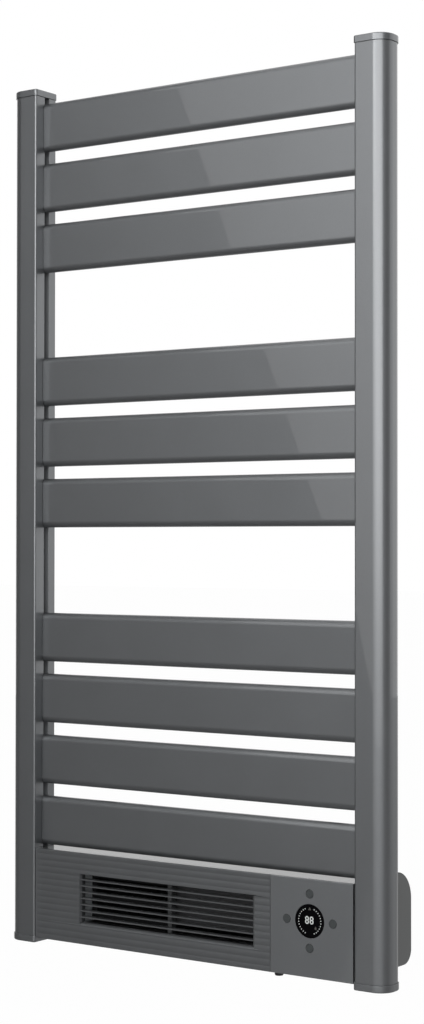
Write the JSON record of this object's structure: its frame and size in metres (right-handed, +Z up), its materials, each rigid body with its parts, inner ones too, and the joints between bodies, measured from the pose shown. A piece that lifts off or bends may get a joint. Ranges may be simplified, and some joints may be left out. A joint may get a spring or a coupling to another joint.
{
  "type": "bathroom towel rail with built-in fan heater",
  "caption": "Wall-hung electric towel rail of flat slats between two D-section posts, with a fan heater, grille and round touch display at its foot.",
  "frame": {"origin": "middle of the heater casing's flat back, on the wall", "axes": "+X to the viewer's right, +Y into the wall, so the front faces -Y, and +Z up along the posts"},
  "size_m": [0.502, 0.1242, 0.9819],
  "materials": {
    "paint": "satin anthracite metallic powder coat",
    "moulding": "anthracite moulding, fine texture",
    "cap": "satin anthracite moulding",
    "black": "glossy black window with white digits",
    "dark_plastic": "dark grey moulding",
    "steel": "zinc-plated steel",
    "aluminium": "bare aluminium fins and tubes",
    "heating_foil": "amber film over an etched element",
    "board": "green circuit board with its parts",
    "rubber": "soft black rubber",
    "filter": "dark tray with fine mesh"
  },
  "bodies": {
    "rail": {"left_post": "paint", "left_top_cap": "cap", "left_bottom_cap": "cap", "left_heater_screw": "steel", "right_post": "paint", "right_top_cap": "cap", "right_bottom_cap": "cap", "right_heater_screw": "steel", "slat_01": "paint", "heating_strip_01": "heating_foil", "slat_02": "paint", "heating_strip_02": "heating_foil", "slat_03": "paint", "heating_strip_03": "heating_foil", "slat_04": "paint", "heating_strip_04": "heating_foil", "slat_05": "paint", "heating_strip_05": "heating_foil", "slat_06": "paint", "heating_strip_06": "heating_foil", "slat_07": "paint", "heating_strip_07": "heating_foil", "slat_08": "paint", "heating_strip_08": "heating_foil", "slat_09": "paint", "heating_strip_09": "heating_foil", "slat_10": "paint", "heating_strip_10": "heating_foil", "upper_left_bracket_arm": "paint", "upper_left_wall_rosette": "paint", "upper_right_bracket_arm": "paint", "upper_right_wall_rosette": "paint", "lower_left_bracket_arm": "paint", "lower_left_wall_rosette": "paint", "lower_right_bracket_arm": "paint", "lower_right_wall_rosette": "paint", "heater_casing": "moulding", "front_panel": "moulding", "control_panel": "moulding", "outlet_grille": "moulding", "outlet_duct": "dark_plastic", "heating_element": "aluminium", "thermal_cutout": "steel", "blower_scroll": "dark_plastic", "bearing_bush": "rubber", "fan_motor": "steel", "display_window": "black", "display_board": "board", "power_board": "board", "terminal_block": "dark_plastic", "lead_grommet": "rubber", "room_sensor": "dark_plastic"},
    "fan": {"blower_rotor": "dark_plastic", "rotor_shaft": "steel"},
    "power_button": {"power_key": "dark_plastic"},
    "mode_button": {"mode_key": "dark_plastic"},
    "minus_button": {"minus_key": "dark_plastic"},
    "plus_button": {"plus_key": "dark_plastic"},
    "filter": {"intake_filter": "filter"}
  },
  "joints": [
    {"name": "fan_spin", "type": "hinge", "parent": "rail", "child": "fan", "pos_m": [0, -0.042, 0.006], "axis": [1, 0, 0], "continuous": true},
    {"name": "power_key_press", "type": "slide", "parent": "rail", "child": "power_button", "axis": [0, 1, 0], "range_m": [0, 0.0008], "stiffness_N_per_m": 1200},
    {"name": "mode_key_press", "type": "slide", "parent": "rail", "child": "mode_button", "axis": [0, 1, 0], "range_m": [0, 0.0008], "stiffness_N_per_m": 1200},
    {"name": "minus_key_press", "type": "slide", "parent": "rail", "child": "minus_button", "axis": [0, 1, 0], "range_m": [0, 0.0008], "stiffness_N_per_m": 1200},
    {"name": "plus_key_press", "type": "slide", "parent": "rail", "child": "plus_button", "axis": [0, 1, 0], "range_m": [0, 0.0008], "stiffness_N_per_m": 1200},
    {"name": "filter_slide", "type": "slide", "parent": "rail", "child": "filter", "axis": [-1, 0, 0], "range_m": [0, 0.15]}
  ]
}
